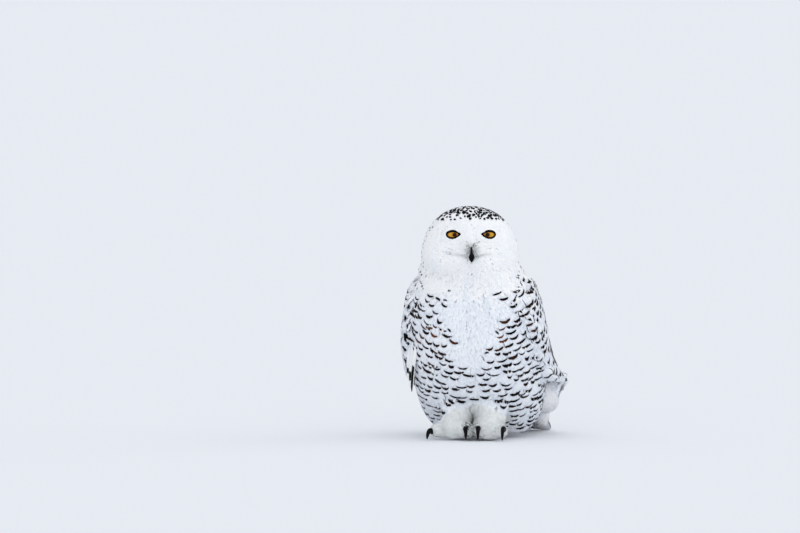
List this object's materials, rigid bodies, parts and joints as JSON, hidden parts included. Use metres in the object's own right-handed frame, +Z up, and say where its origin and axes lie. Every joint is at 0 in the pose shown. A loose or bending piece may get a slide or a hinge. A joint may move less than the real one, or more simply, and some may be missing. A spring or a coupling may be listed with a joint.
{
  "type": "snowy owl",
  "caption": "Life-size snowy owl standing upright at rest, wings folded, tail on the ground, head turned slightly to its left.",
  "frame": {"origin": "on the ground under the middle of the bird's bounding box", "axes": "+Z up, -Y the way the bird's body faces, +X the bird's left side"},
  "size_m": [0.2588, 0.3864, 0.398],
  "materials": {
    "plumage": "soft matte feathers, white with dark brown bars",
    "horn": "smooth dark horn of bill and claws",
    "eye": "wet glossy golden eye with dark pupil"
  },
  "bodies": {
    "root": {"head": "plumage", "neck": "plumage", "torso": "plumage", "tail": "plumage", "wing_left": "plumage", "wing_right": "plumage", "eye_left": "eye", "eye_right": "eye", "bill_upper": "horn", "bill_lower": "horn", "leg_left": "plumage", "foot_left": "plumage", "claw_left_inner": "horn", "claw_left_middle": "horn", "claw_left_outer": "horn", "claw_left_hind": "horn", "leg_right": "plumage", "foot_right": "plumage", "claw_right_inner": "horn", "claw_right_middle": "horn", "claw_right_outer": "horn", "claw_right_hind": "horn"}
  },
  "joints": []
}
